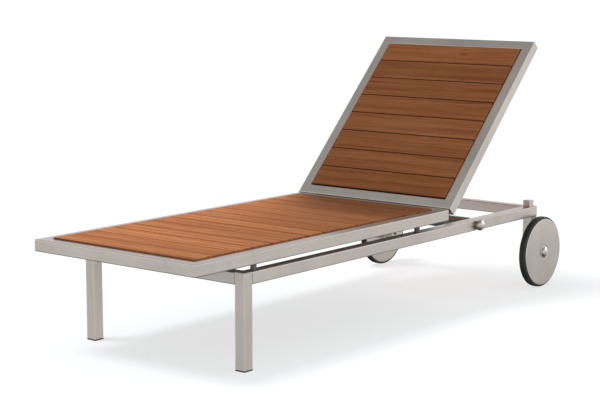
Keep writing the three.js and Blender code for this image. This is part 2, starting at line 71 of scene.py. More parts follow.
MM = 0.001
TUBE = 40 * MM
WALL = 1.5 * MM  # frame tube
TUBE_CORNER = 3.5 * MM
TUBE_RIM = 0.12 * MM  # broken edge at a tube's cut end
WELD = 0.3 * MM  # tubes reach this far into the ones they are welded to
ARC_STEPS = 5
BEAD_STEPS = 6
SOFT_WEAR = 0.3  # on round parts that hands and tools rub
RIM_WEAR = 0.6  # on the faces of cut plates, beside their rims
SUPPORT = 0.8 * MM  # loops beside a round corner that keep the flats flat
SMOOTH_ANGLE = math.radians(32)  # sharper corners than this stay sharp
NO_KNOT = (10.0, 10.0, 10.0)  # far enough away to leave no mark

# ------------------------------------------------------------------ frames of reference

X, Y, Z = Vector((1, 0, 0)), Vector((0, 1, 0)), Vector((0, 0, 1))


def basis(origin, x_axis, y_axis):
    """Local X and Y axes at an origin, and Z square to both."""
    x, y = x_axis.normalized(), y_axis.normalized()
    z = x.cross(y)
    return Matrix.Translation(origin) @ Matrix((x, y, z)).transposed().to_4x4()


WORLD = Matrix.Identity(4)


def points_of(node, at=WORLD):
    """A CAD node's vertices in a given frame."""
    flat = np.empty(len(NODES[node].data.vertices) * 3, np.float32)
    NODES[node].data.vertices.foreach_get("co", flat)
    inverse = np.array(at.inverted())
    return flat.reshape(-1, 3) @ inverse[:3, :3].T + inverse[:3, 3]


def local_box(node, at=WORLD):
    points = points_of(node, at)
    return Vector(points.min(0)), Vector(points.max(0))


def centre_of(lo, hi):
    return (lo + hi) / 2


def joint_frame(name, angle):
    """A joint's own frame, turned up from the horizontal by an angle."""
    return Matrix.Translation(JOINTS[name]["pos_m"]) @ Matrix.Rotation(angle, 4, "X")


def turned_place(node, sign):
    """A round part's frame, with X pointing away from the lounger from its inner end, and
    its length and radius."""
    lo, hi = local_box(node)
    mid = centre_of(lo, hi)
    start = Vector((lo.x if sign > 0 else hi.x, mid.y, mid.z))
    return basis(start, sign * X, sign * Y), hi.x - lo.x, (hi.z - lo.z) / 2


def raised_angle():
    """How far the back is raised, from the line through its first and last slats."""
    first, last = (centre_of(*local_box(n)) for n in (BACK_SLATS[0], BACK_SLATS[-1]))
    return math.atan2(last.z - first.z, last.y - first.y)


SEAT_SLATS = sorted(n for n in NODES if n.startswith("seat_slat_"))
BACK_SLATS = sorted(n for n in NODES if n.startswith("back_slat_"))
RECLINE = raised_angle()
PROP_ANGLE = RECLINE * RECORD["behaviour"]["couplings"][0]["ratio"]
HINGE = joint_frame("recline", 0)
BACK = joint_frame("recline", RECLINE)
PROP = joint_frame("prop_fold", PROP_ANGLE)

# ------------------------------------------------------------------ mesh building


class Shell:
    """Vertices, faces and an edge-wear value per vertex, gathered into one piece."""

    def __init__(self):
        self.points, self.faces, self.wear = [], [], []

    def ring(self, points, wear=0.0):
        start = len(self.points)
        self.points.extend(tuple(p) for p in points)
        wears = wear if hasattr(wear, "__len__") else [wear] * len(points)
        self.wear.extend(wears)
        return list(range(start, start + len(points)))

    def bridge(self, a, b):
        """Quads between two rings, facing out when b lies further along +X than a."""
        n = len(a)
        for i in range(n):
            j = (i + 1) % n
            self.faces.append((a[i], a[j], b[j], b[i]))

    def loft(self, rings, closed=False):
        for a, b in zip(rings, rings[1:]):
            self.bridge(a, b)
        if closed:
            self.bridge(rings[-1], rings[0])

    def cap(self, ring, start):
        self.faces.append(tuple(reversed(ring)) if start else tuple(ring))

    def moved(self, matrix, since=0):
        """Moves the vertices added since a given count."""
        for i in range(since, len(self.points)):
            self.points[i] = tuple(matrix @ Vector(self.points[i]))


def corner_profile(width, height, radius, steps=ARC_STEPS):
    """A rectangle with round corners in the YZ plane: points, and wear at the corners."""
    points, wear = [], []
    for quarter in range(4):
        sy = (1, -1, -1, 1)[quarter]
        sz = (1, 1, -1, -1)[quarter]
        cy, cz = sy * (width / 2 - radius), sz * (height / 2 - radius)
        first = quarter * math.pi / 2
        arc = [first + math.pi / 2 * i / steps for i in range(steps + 1)]
        run = [(cy + radius * math.cos(a), cz + radius * math.sin(a)) for a in arc]
        before = (run[0][0] + SUPPORT * math.sin(first), run[0][1] - SUPPORT * math.cos(first))
        last = arc[-1]
        after = (run[-1][0] - SUPPORT * math.sin(last), run[-1][1] + SUPPORT * math.cos(last))
        points += [before, *run, after]
        wear += [0.0] + [1.0] * len(run) + [0.0]
    return np.array(points), wear


def box_tube(shell, length, mitre=None, closed=False):
    """A hollow square tube from x = 0 to its length. mitre is the outward direction in the
    YZ plane of a frame whose corners are cut at 45 degrees; closed plates over the far end."""
    outer, wear = corner_profile(TUBE, TUBE, TUBE_CORNER)
    inner, _ = corner_profile(TUBE - 2 * WALL, TUBE - 2 * WALL, TUBE_CORNER - WALL)

    def set_back(profile):
        if mitre is None:
            return np.zeros(len(profile))
        return TUBE / 2 - profile @ np.array(mitre)

    def at(profile, x, sign):
        return np.column_stack([x + sign * set_back(profile), profile])

    inset = outer * (1 - 2 * TUBE_RIM / TUBE)
    rings = [
        shell.ring(at(inner, 0, 1)),
        shell.ring(at(inset, 0, 1), 1.0),
        shell.ring(at(outer, TUBE_RIM, 1), wear),
        shell.ring(at(outer, 4 * TUBE_RIM, 1), wear),
        shell.ring(at(outer, length - 4 * TUBE_RIM, -1), wear),
        shell.ring(at(outer, length - TUBE_RIM, -1), wear),
        shell.ring(at(inset, length, -1), 1.0),
    ]
    if closed:
        shell.loft(rings)
        shell.cap(rings[-1], start=False)
        deep = shell.ring(at(inner, length - WALL, -1))
        shell.bridge(deep, rings[0])
        shell.cap(deep, start=True)
    else:
        rings.append(shell.ring(at(inner, length, -1)))
        shell.loft(rings, closed=True)


def rounded_bar(shell, x0, x1, width, height, corner, steps=3):
    """A solid bar along X with round long edges and eased ends."""
    profile, wear = corner_profile(width, height, corner, steps)
    scale = np.array([1 - 2 * corner / width, 1 - 2 * corner / height])

    def add_slice(x, points, slice_wear):
        return shell.ring(np.column_stack([np.full(len(points), x), points]), slice_wear)

    def add_eased(angle, end, inwards):
        inset = profile * (1 - (1 - math.sin(angle)) * (1 - scale))
        return add_slice(end + inwards * corner * (1 - math.cos(angle)), inset, 1.0)

    ease = [math.pi / 2 * i / steps for i in range(steps + 1)]
    rings = [add_eased(angle, x0, 1) for angle in ease]
    rings.append(add_slice(x0 + corner + SUPPORT, profile, wear))
    rings.append(add_slice(x1 - corner - SUPPORT, profile, wear))
    rings += [add_eased(angle, x1, -1) for angle in reversed(ease)]
    shell.loft(rings)
    shell.cap(rings[0], start=True)
    shell.cap(rings[-1], start=False)


def turned(shell, profile, segments):
    """A piece of revolution about X from (x, radius, wear) points. It closes on itself
    unless it starts and ends on the axis."""
    angles = [2 * math.pi * i / segments for i in range(segments)]
    rings = []
    for x, radius, wear in profile:
        circle = [(x, radius * math.cos(a), radius * math.sin(a)) for a in angles]
        rings.append(shell.ring(circle, wear) if radius > 0 else None)
    for a, b in zip(rings, rings[1:]):
        if a and b:
            shell.bridge(a, b)
    if rings[0] is None:
        tip = shell.ring([(profile[0][0], 0, 0)])[0]
        for here, after in zip(rings[1], rings[1][1:] + rings[1][:1]):
            shell.faces.append((tip, after, here))
    if rings[-1] is None:
        tip = shell.ring([(profile[-1][0], 0, 0)])[0]
        for here, after in zip(rings[-2], rings[-2][1:] + rings[-2][:1]):
            shell.faces.append((here, after, tip))
    if rings[0] and rings[-1]:
        shell.bridge(rings[-1], rings[0])


def rounded(points, radius, steps=3):
    """Rounds the inner corners of an open (x, radius) line, with full wear on each arc."""
    out = [(*points[0], 0.0)]
    for before, here, after in zip(points, points[1:], points[2:]):
        p, a, b = Vector(here), Vector(before), Vector(after)
        if (p - a).angle(b - p) < SMOOTH_ANGLE:
            out.append((*here, 0.0))
            continue
        reach = min(radius, 0.45 * (a - p).length, 0.45 * (b - p).length)
        start, end = p + (a - p).normalized() * reach, p + (b - p).normalized() * reach
        for i in range(steps + 1):
            t = i / steps
            q = start * (1 - t) ** 2 + p * 2 * t * (1 - t) + end * t * t
            out.append((q.x, q.y, 1.0))
    out.append((*points[-1], 0.0))
    return out


def bar_x(shell, x0, x1, radius, ease, segments):
    """A solid round bar along X with eased ends."""
    line = [(x0, 0.3 * radius), (x0, radius), (x1, radius), (x1, 0.3 * radius)]
    turned(shell, [(x0, 0, 0), *rounded(line, ease)[1:-1], (x1, 0, 0)], segments)


def bead(shell, centre, half_width, radius, segments):
    """A weld bead round a bar that meets a flat face at x = centre."""
    profile = []
    for i in range(BEAD_STEPS):
        a = 2 * math.pi * i / BEAD_STEPS
        x, r = centre + half_width * math.cos(a), radius + half_width * math.sin(a)
        profile.append((x, r, SOFT_WEAR))
    turned(shell, list(reversed(profile)), segments)


def make(name, shell, at, material, node, tone=0.0, knot=NO_KNOT, gap_shade=0.0):
    """Turns a shell into a piece that stands for a CAD node and rides on its body. tone
    makes wood paler, knot is where it has one, and gap is painted shade that darkens it."""
    mesh = bpy.data.meshes.new(name)
    mesh.from_pydata(shell.points, [], shell.faces)
    mesh.validate()
    local = np.array(shell.points, np.float32)
    values = {"wear": shell.wear, "tone": tone, "seed": random.random(), "gap_shade": gap_shade}
    for key, value in values.items():
        layer = mesh.attributes.new(key, "FLOAT", "POINT")
        layer.data.foreach_set("value", np.full(len(local), value, np.float32))
    for key, centre in (("grain", (0, 0, 0)), ("knot", knot)):
        layer = mesh.attributes.new(key, "FLOAT_VECTOR", "POINT")
        layer.data.foreach_set("vector", (local - np.float32(centre)).ravel())
    mesh.transform(at)
    mesh.polygons.foreach_set("use_smooth", [True] * len(mesh.polygons))
    mesh.set_sharp_from_angle(angle=SMOOTH_ANGLE)
    mesh.update()
    piece = bpy.data.objects.new(name, mesh)
    bpy.context.scene.collection.objects.link(piece)
    piece.data.materials.append(material)
    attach(piece, BODY_OF[node])
    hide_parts(node)
    return piece


# ------------------------------------------------------------------ materials


def srgb(r, g, b):
    """Linear colour of an 8-bit display colour."""
    return tuple(((c / 255 + 0.055) / 1.055) ** 2.4 if c > 10 else c / 255 / 12.92 for c in (r, g, b))


STEEL = (0.62, 0.57, 0.525)
DISC_STEEL = (0.56, 0.51, 0.47)
PLATE_STEEL = (0.56, 0.51, 0.47)
# The prop's dark tint and low metallic are painted shade, for the shadow it lies in under the seat and back.
PROP_SHADE_TINT = (0.2, 0.2, 0.2)
PROP_SHADE_METALLIC = 0.4
TEAK_DARK = srgb(118, 68, 37)
TEAK_MID = srgb(151, 93, 54)
TEAK_LIGHT = srgb(175, 117, 73)
TEAK_RED = srgb(146, 83, 45)
TEAK_PORE = srgb(78, 41, 21)
TEAK_GAP_SHADE = srgb(38, 20, 11)  # painted shade on the sides of the slats, where they face each other across the narrow gaps
RUBBER_DARK, RUBBER_LIGHT = srgb(12, 26, 21), srgb(19, 37, 31)
DUST, SCUFF = srgb(92, 98, 90), srgb(110, 112, 106)
BLACK_NYLON = srgb(26, 26, 27), srgb(44, 44, 44)
GREY_NYLON = srgb(88, 85, 82), srgb(108, 104, 100)
WORN_NYLON = srgb(120, 118, 114)
SEED_SPREAD = (7.3, 3.1, 5.7)  # how far a seed of 1 shifts the textures, in metres


class Graph:
    """Short names for the node calls that the materials share."""

    def __init__(self, name):
        self.material = bpy.data.materials.new(name)
        self.material.use_nodes = True
        self.tree = self.material.node_tree
        self.tree.nodes.clear()
        self.shader = self.node("ShaderNodeBsdfPrincipled")
        out = self.node("ShaderNodeOutputMaterial")
        self.link(self.shader.outputs[0], out.inputs[0])

    def node(self, kind, **values):
        made = self.tree.nodes.new(kind)
        for key, value in values.items():
            setattr(made, key, value)
        return made

    def link(self, source, target):
        self.tree.links.new(source, target)

    def fill(self, socket, value):
        if isinstance(value, bpy.types.NodeSocket):
            self.link(value, socket)
        else:
            socket.default_value = value

    def attribute(self, name, output="Fac"):
        return self.node("ShaderNodeAttribute", attribute_name=name).outputs[output]

    def maths(self, operation, a, b=0.0):
        made = self.node("ShaderNodeMath", operation=operation)
        self.fill(made.inputs[0], a)
        self.fill(made.inputs[1], b)
        return made.outputs[0]

    def vector(self, operation, a, b=(0, 0, 0), output="Vector"):
        made = self.node("ShaderNodeVectorMath", operation=operation)
        self.fill(made.inputs[0], a)
        self.fill(made.inputs[1], b)
        return made.outputs[output]

    def combine(self, *parts):
        made = self.node("ShaderNodeCombineXYZ")
        for socket, part in zip(made.inputs, parts):
            self.fill(socket, part)
        return made.outputs[0]

    def noise(self, at, scale=1.0, detail=2.0, roughness=0.5, distortion=0.0):
        made = self.node("ShaderNodeTexNoise")
        self.fill(made.inputs["Vector"], at)
        made.inputs["Scale"].default_value = scale
        made.inputs["Detail"].default_value = detail
        made.inputs["Roughness"].default_value = roughness
        made.inputs["Distortion"].default_value = distortion
        return made.outputs["Fac"]

    def span(self, value, from_low, from_high, to_low, to_high):
        made = self.node("ShaderNodeMapRange")
        for i, part in enumerate((value, from_low, from_high, to_low, to_high)):
            self.fill(made.inputs[i], part)
        return made.outputs[0]

    def mix(self, share, a, b, blend="MIX"):
        made = self.node("ShaderNodeMix", data_type="RGBA", blend_type=blend)
        self.fill(made.inputs["Factor"], share)
        self.fill(made.inputs["A"], a)
        self.fill(made.inputs["B"], b)
        return made.outputs["Result"]

    def ramp(self, value, stops):
        made = self.node("ShaderNodeValToRGB")
        elements = made.color_ramp.elements
        elements[0].position, elements[0].color = stops[0][0], (*stops[0][1], 1)
        elements[1].position, elements[1].color = stops[-1][0], (*stops[-1][1], 1)
        for place, colour in stops[1:-1]:
            elements.new(place).color = (*colour, 1)
        self.fill(made.inputs[0], value)
        return made.outputs[0]

    def bump(self, height, distance, strength=1.0, under=None):
        made = self.node("ShaderNodeBump")
        made.inputs["Strength"].default_value = strength
        made.inputs["Distance"].default_value = distance
        self.fill(made.inputs["Height"], height)
        if under:
            self.link(under, made.inputs["Normal"])
        return made.outputs[0]

    def set(self, **sockets):
        for name, value in sockets.items():
            self.fill(self.shader.inputs[name.replace("_", " ")], value)


def grey(value):
    return (value, value, value, 1)


def local_point(g):
    """A piece's own coordinates, shifted by its seed so that no two pieces match."""
    seed = g.attribute("seed")
    shift = g.combine(*(g.maths("MULTIPLY", seed, factor) for factor in SEED_SPREAD))
    return g.vector("ADD", g.attribute("grain", "Vector"), shift)


def finish_steel(g, streaks, broad, tint, metallic=1.0):
    """Colour and gloss of a steel face from its streaks, its broad patches and its wear."""
    wear = g.attribute("wear")
    fine_shade = g.span(streaks, 0.3, 0.7, -0.09, 0.09)
    shade = g.maths("ADD", fine_shade, g.span(broad, 0.3, 0.7, -0.07, 0.07))
    levels = g.ramp(g.maths("ADD", shade, 0.5), [(0.3, (0.74,) * 3), (0.7, (1.2,) * 3)])
    colour = g.mix(1.0, (*tint, 1), levels, "MULTIPLY")
    polished = (*(min(1, 1.22 * c) for c in tint), 1)
    g.set(Base_Color=g.mix(g.maths("MULTIPLY", wear, 0.35), colour, polished))
    streaked = g.span(streaks, 0.25, 0.75, 0.30, 0.46)
    rough = g.maths("ADD", streaked, g.maths("MULTIPLY", wear, -0.05))
    patchy = g.maths("ADD", rough, g.span(broad, 0.3, 0.7, -0.03, 0.03))
    g.set(Roughness=patchy, Metallic=metallic)


def brushed_steel():
    """Satin stainless tube, brushed lengthwise, with faint handling marks."""
    g = Graph("brushed_steel")
    point = local_point(g)
    fine = g.noise(g.vector("MULTIPLY", point, (9, 1500, 1500)), detail=3, roughness=0.6)
    wide = g.noise(g.vector("MULTIPLY", point, (2.2, 260, 260)), detail=2, roughness=0.55)
    streaks = g.maths("ADD", g.maths("MULTIPLY", fine, 0.55), g.maths("MULTIPLY", wide, 0.45))
    broad = g.noise(point, scale=5.5, detail=3, roughness=0.6)
    finish_steel(g, streaks, broad, STEEL)
    scratch = g.noise(g.vector("MULTIPLY", point, (40, 900, 900)), detail=1)
    marks = g.span(scratch, 0.72, 0.78, 0.0, 1.0)
    normal = g.bump(streaks, 0.00006)
    g.set(Normal=g.bump(marks, 0.00003, 0.4, normal))
    return g.material


def turned_steel():
    """Satin stainless with a fine grain round the axis of the piece."""
    g = Graph("turned_steel")
    point = g.attribute("grain", "Vector")
    split = g.node("ShaderNodeSeparateXYZ")
    g.link(point, split.inputs[0])
    radius = g.vector("LENGTH", g.vector("MULTIPLY", point, (0, 1, 1)), output="Value")
    divisor = g.maths("MAXIMUM", radius, 0.5 * MM)
    around = [g.maths("DIVIDE", split.outputs[axis], divisor) for axis in (1, 2)]
    stretched = [g.maths("MULTIPLY", part, 1.6) for part in around]
    ring_point = g.combine(g.maths("MULTIPLY", radius, 1300), *stretched)
    streaks = g.noise(ring_point, detail=3, roughness=0.6)
    broad = g.noise(local_point(g), scale=9, detail=3, roughness=0.6)
    finish_steel(g, streaks, broad, DISC_STEEL)
    g.set(Normal=g.bump(streaks, 0.00005))
    return g.material


def plate_steel(name, tint, metallic=1.0):
    """Cut and drilled fittings: a duller, finely tumbled face. With a dark tint and less metal it also gives the
    prop its painted shade.
    """
    g = Graph(name)
    point = local_point(g)
    grain = g.noise(g.vector("MULTIPLY", point, (300, 1200, 1200)), detail=3, roughness=0.6)
    broad = g.noise(point, scale=30, detail=3)
    finish_steel(g, grain, broad, tint, metallic)
    g.set(Normal=g.bump(grain, 0.00005))
    return g.material


def teak():
    """Oiled hardwood with long straight grain, pores, growth bands and the odd knot."""
    g = Graph("teak")
    point = local_point(g)
    knot_at = g.vector("MULTIPLY", g.attribute("knot", "Vector"), (0.45, 1, 1))
    near = g.vector("LENGTH", knot_at, output="Value")
    bulge = g.span(near, 0.0, 0.035, 1.0, 0.0)
    swirl = g.maths("MULTIPLY", g.maths("POWER", bulge, 2.0), 0.018)
    bent = g.vector("ADD", point, g.combine(0, swirl, 0))
    sway = g.noise(g.vector("MULTIPLY", bent, (2.2, 9, 9)), detail=2)
    bent = g.vector("ADD", bent, g.combine(0, g.maths("MULTIPLY", sway, 0.03), 0))
    bands = g.noise(g.vector("MULTIPLY", bent, (1.3, 75, 45)), detail=4, roughness=0.6, distortion=0.6)
    fibre = g.noise(g.vector("MULTIPLY", bent, (14, 1000, 1000)), detail=3, roughness=0.65)
    pores = g.noise(g.vector("MULTIPLY", bent, (60, 1500, 1500)), detail=1)
    cloud = g.noise(point, scale=7, detail=3, roughness=0.6)
    figure = g.maths("ADD", g.maths("MULTIPLY", bands, 0.62), g.maths("MULTIPLY", fibre, 0.38))
    colour = g.ramp(figure, [(0.35, TEAK_DARK), (0.48, TEAK_MID), (0.63, TEAK_LIGHT)])
    colour = g.mix(g.span(cloud, 0.3, 0.7, 0.0, 0.4), colour, (*TEAK_RED, 1))
    tone = g.span(g.attribute("tone"), -1, 1, 0.82, 1.18)
    toned = g.combine(*(g.maths("POWER", tone, power) for power in (1.0, 1.12, 1.2)))
    colour = g.mix(1.0, colour, toned, "MULTIPLY")
    pore_dark = g.span(pores, 0.63, 0.72, 0.0, 0.45)
    colour = g.mix(pore_dark, colour, (*TEAK_PORE, 1))
    heart = g.span(near, 0.002, 0.012, 0.5, 0.0)
    colour = g.mix(heart, colour, (*TEAK_PORE, 1))
    colour = g.mix(g.maths("MULTIPLY", g.attribute("wear"), 0.22), colour, (*TEAK_LIGHT, 1))
    # painted shade: the slats' sides are darkened where they face each other
    colour = g.mix(g.attribute("gap_shade"), colour, (*TEAK_GAP_SHADE, 1))
    g.set(Base_Color=colour, Metallic=0.0)
    g.set(Roughness=g.span(figure, 0.3, 0.7, 0.82, 0.68))
    height = g.maths("SUBTRACT", g.maths("MULTIPLY", figure, 0.6), g.maths("MULTIPLY", pore_dark, 0.8))
    g.set(Normal=g.bump(height, 0.00025, 0.8))
    g.shader.inputs["Specular IOR Level"].default_value = 0.15
    return g.material


def rubber():
    """Solid tyre: near-black with a green cast, matt, with scuffs and settled dust."""
    g = Graph("rubber")
    point = local_point(g)
    grit = g.noise(point, scale=900, detail=3, roughness=0.6)
    scuff = g.noise(g.vector("MULTIPLY", point, (90, 40, 40)), detail=4, roughness=0.7)
    dusty = g.span(scuff, 0.5, 0.75, 0.0, 0.22)
    colour = g.mix(g.span(grit, 0.3, 0.7, 0, 1), (*RUBBER_DARK, 1), (*RUBBER_LIGHT, 1))
    colour = g.mix(dusty, colour, (*DUST, 1))
    colour = g.mix(g.maths("MULTIPLY", g.attribute("wear"), 0.12), colour, (*SCUFF, 1))
    g.set(Base_Color=colour, Roughness=g.span(scuff, 0.3, 0.8, 0.5, 0.8))
    g.set(Normal=g.bump(grit, 0.0001, 0.6))
    return g.material


def nylon(name, dark, light):
    """Moulded plastic with a fine spark texture and pale dust at the edges."""
    g = Graph(name)
    point = local_point(g)
    texture = g.noise(point, scale=1400, detail=2)
    cloud = g.noise(point, scale=60, detail=3)
    colour = g.mix(g.span(cloud, 0.35, 0.7, 0.0, 1.0), (*dark, 1), (*light, 1))
    colour = g.mix(g.maths("MULTIPLY", g.attribute("wear"), 0.25), colour, (*WORN_NYLON, 1))
    g.set(Base_Color=colour, Roughness=g.span(texture, 0.3, 0.7, 0.55, 0.7))
    g.set(Normal=g.bump(texture, 0.00008, 0.6))
    return g.material


BRUSHED, TURNED = brushed_steel(), turned_steel()
PLATE = plate_steel("plate_steel", PLATE_STEEL)
# painted shade: the prop's steel is darkened to stand for the shadow under the seat and back
PROP_SHADED_STEEL = plate_steel("prop_steel", PROP_SHADE_TINT, PROP_SHADE_METALLIC)
TEAK, RUBBER = teak(), rubber()
NYLON = nylon("nylon", *BLACK_NYLON)
NYLON_GREY = nylon("nylon_grey", *GREY_NYLON)

# ------------------------------------------------------------------ tubes


def add_tube(node, at, along, mitre=None, closed=False, body=None, weld=WELD):
    """Rebuilds a square frame tube where its CAD node is. along is its direction in the
    frame at, mitre the outward direction there, and body its box if it isn't the node's.
    Open ends reach into their neighbour by the weld."""
    lo, hi = body or local_box(node, at)
    axis = max(range(3), key=lambda i: abs(along[i]))
    start = centre_of(lo, hi)
    start[axis] = lo[axis] if along[axis] > 0 else hi[axis]
    start -= along * weld
    length = hi[axis] - lo[axis] + weld * (1 if closed else 2)
    side = Z.cross(along) if abs(along.z) < 0.5 else Y
    cut = None
    if mitre is not None:
        cut = (mitre.dot(side), mitre.dot(along.cross(side)))
    shell = Shell()
    box_tube(shell, length, cut, closed)
    make(node + "_tube", shell, at @ basis(start, along, side), BRUSHED, node)


def spacers_of(node):
    """The box of a seat side rail's tube, its two round spacers' centres and radii, and
    the height they stand on."""
    points = points_of(node)
    top = points[:, 2].max()
    under = top - TUBE
    low = points[points[:, 2] < under - 1 * MM]
    middle = low[:, 1].mean()
    spots = []
    for group in (low[low[:, 1] < middle], low[low[:, 1] >= middle]):
        lo, hi = group.min(0), group.max(0)
        centre = (lo + hi) / 2
        spots.append((centre[0], centre[1], (hi[0] - lo[0]) / 2))
    lo, hi = points.min(0), points.max(0)
    return (Vector((lo[0], lo[1], under)), Vector(hi)), spots, low[:, 2].min()


def add_seat_side_rail(side, sign):
    """A seat rail, and the two moulded spacers that carry it on the base."""
    node = f"seat_side_rail_{side}"
    body, spots, foot = spacers_of(node)
    add_tube(node, WORLD, Y, Vector((sign, 0, 0)), body=body)
    height = body[0].z - foot
    for end, (x, y, radius) in zip(("front", "rear"), spots):
        shell = Shell()
        bar_x(shell, 0, height, radius, 1.0 * MM, 48)
        stand = basis(Vector((x, y, foot)), Z, X)
        make(f"seat_spacer_{end}_{side}", shell, stand, NYLON_GREY, node)


for side, sign in SIDES:
    add_tube(f"base_side_rail_{side}", WORLD, Y, closed=True)
    add_tube(f"front_leg_{side}", WORLD, Z, closed=True, weld=0)
    add_tube(f"wheel_post_{side}", WORLD, -Z, closed=True)
    add_seat_side_rail(side, sign)
    add_tube(f"back_side_rail_{side}", BACK, Y, Vector((sign, 0, 0)))
add_tube("base_front_cross_rail", WORLD, X)
add_tube("base_rear_cross_rail", WORLD, X)
add_tube("seat_front_rail", WORLD, X, -Y)
add_tube("seat_rear_rail", WORLD, X, Y)
add_tube("back_bottom_rail", BACK, X, -Y)
add_tube("back_top_rail", BACK, X, Y)

# ------------------------------------------------------------------ slats and battens

SLAT_CORNER = 2.2 * MM
# how deep the painted shade on the sides of the seat and back slats is
SEAT_GAP_SHADE, BACK_GAP_SHADE = 0.3, 0.85
FOOT_LIGHT, FOOT_LIGHT_START = 0.9, -0.25  # painted light: the seat slats grow paler towards the foot end, which lies in brighter light than the end by the back
SEAT_SPREAD, BACK_SPREAD = 0.45, 0.5  # of the slats' tone
TOP_KNOT = (0.07, 0.004, 0.011)


def add_slat(node, at, tone, side_shade, knot=NO_KNOT):
    """A slat with eased edges. dirt is how deep the painted shade on its sides is."""
    lo, hi = local_box(node, at)
    shell = Shell()
    half = (hi - lo) / 2
    rounded_bar(shell, -half.x, half.x, 2 * half.y, 2 * half.z, SLAT_CORNER)
    across = np.abs(np.array(shell.points)[:, 1])
    # painted shade on the slat's sides, deepest on its side faces
    gap_shade = side_shade * np.clip((across - half.y + SLAT_CORNER) / SLAT_CORNER, 0, 1) ** 2
    place = at @ Matrix.Translation(centre_of(lo, hi))
    make(node.replace("slat", "board"), shell, place, TEAK, node, tone=tone, knot=knot, gap_shade=gap_shade)


for i, node in enumerate(SEAT_SLATS):
    to_foot = 1 - i / (len(SEAT_SLATS) - 1)
    # painted light: paler seat slats towards the foot end
    foot_light = FOOT_LIGHT * to_foot**2 + FOOT_LIGHT_START
    add_slat(node, WORLD, foot_light + random.uniform(-SEAT_SPREAD, SEAT_SPREAD), SEAT_GAP_SHADE)
for node in BACK_SLATS:
    knot = TOP_KNOT if node == BACK_SLATS[-1] else NO_KNOT
    add_slat(node, BACK, random.uniform(-BACK_SPREAD, BACK_SPREAD), BACK_GAP_SHADE, knot)

SLAT_SCREW, LEAF_SCREW = 4.2 * MM, 3.6 * MM  # radius of the heads
SCREW_SHARES = (0.27, 0.73)  # places across a slat
BATTEN_THICKNESS = 6 * MM
BATTEN_CORNER = 0.7 * MM
RACK_EASE = 0.4 * MM
RACK_SCREW_OFFSET = 9.5 * MM  # beside the rack's blade
SCREW_HEAD = (  # height and radius of its outline, as shares of the head's radius
    (0, 1),
    (0.1575, 1),
    (0.45, 0.62),
    (0.45, 0.36),
    (0.135, 0.33),
    (0.135, 0),
)


def screw(shell, place, radius):
    """A low domed screw head with a round socket, on a face at place with X out of it."""
    since = len(shell.points)
    line = [(x * radius, r * radius) for x, r in SCREW_HEAD]
    turned(shell, [(0, 0, 0), *rounded(line, 0.12 * radius, 2)], 18)
    shell.moved(place, since)


def under_face(point):
    """A frame on a face that looks down, with X pointing out of it."""
    return basis(point, -Z, X)


def screw_batten(shell, place, at, slats, x, z):
    """Two screws up through a batten's underside into every slat."""
    for slat in slats:
        slat_lo, slat_hi = local_box(slat, at)
        for share in SCREW_SHARES:
            y = slat_lo.y + share * (slat_hi.y - slat_lo.y)
            screw(shell, place.inverted() @ under_face(Vector((x, y, z))), SLAT_SCREW)


def add_seat_batten(side):
    """A flat bar under the seat slats."""
    node = f"seat_batten_{side}"
    lo, hi = local_box(node)
    mid = centre_of(lo, hi)
    shell = Shell()
    rounded_bar(shell, 0, hi.y - lo.y, hi.x - lo.x, hi.z - lo.z, BATTEN_CORNER, 2)
    place = basis(Vector((mid.x, lo.y, mid.z)), Y, -X)
    screw_batten(shell, place, WORLD, SEAT_SLATS, mid.x, lo.z)
    make(node + "_bar", shell, place, BRUSHED, node)


def rack_outline(node, at, mid):
    """The notched blade below a back batten: its side face's outline, in order, and half
    its thickness. mid is the middle of the batten across the lounger."""
    points = points_of(node, at)
    x = points[:, 0]
    side = x[(x > mid + 0.5 * MM) & (x < x.max() - 0.5 * MM)].max()
    edges = set()
    for polygon in NODES[node].data.polygons:
        corners = [points[v] for v in polygon.vertices]
        if all(abs(corner[0] - side) < 0.01 * MM for corner in corners):
            loop = [(round(corner[1], 6), round(corner[2], 6)) for corner in corners]
            edges.update(zip(loop, loop[1:] + loop[:1]))
    rim = {a: b for a, b in edges if (b, a) not in edges}
    start = min(rim)
    line, here = [start], rim[start]
    while here != start:
        line.append(here)
        here = rim[here]
    return line, side - mid


def plate(shell, outline, x0, x1, ease):
    """A flat plate between x0 and x1 with a given outline in YZ and eased rims."""
    points = np.array(outline)
    after = np.roll(points, -1, 0)
    if np.sum(points[:, 0] * after[:, 1] - points[:, 1] * after[:, 0]) < 0:
        points = points[::-1]
    turn = np.roll(points, -1, 0) - np.roll(points, 1, 0)
    inward = np.column_stack([-turn[:, 1], turn[:, 0]])
    inward /= np.linalg.norm(inward, axis=1)[:, None]
    inset = points + inward * ease
    rings = []
    for x, edge in ((x0, inset), (x0 + ease, points), (x1 - ease, points), (x1, inset)):
        wear = RIM_WEAR if edge is inset else 1.0
        rings.append(shell.ring(np.column_stack([np.full(len(edge), x), edge]), wear))
    shell.loft(rings)
    shell.cap(rings[0], start=True)
    shell.cap(rings[-1], start=False)


def add_rack(side):
    """A back batten with its welded rack."""
    node = f"back_batten_rack_{side}"
    lo, hi = local_box(node, BACK)
    mid = centre_of(lo, hi).x
    line, half = rack_outline(node, BACK, mid)
    shell = Shell()
    place = basis(Vector((mid, lo.y, hi.z - BATTEN_THICKNESS / 2)), Y, -X)
    rounded_bar(shell, 0, hi.y - lo.y, hi.x - lo.x, BATTEN_THICKNESS, BATTEN_CORNER, 2)
    since = len(shell.points)
    plate(shell, line, -half, half, RACK_EASE)
    shell.moved(place.inverted() @ Matrix.Translation((mid, 0, 0)), since)
    screw_batten(shell, place, BACK, BACK_SLATS, mid + RACK_SCREW_OFFSET, hi.z - BATTEN_THICKNESS)
    make(node + "_bar", shell, BACK @ place, BRUSHED, node)


for side, _ in SIDES:
    add_seat_batten(side)
    add_rack(side)

# ------------------------------------------------------------------ feet, stubs, hinges

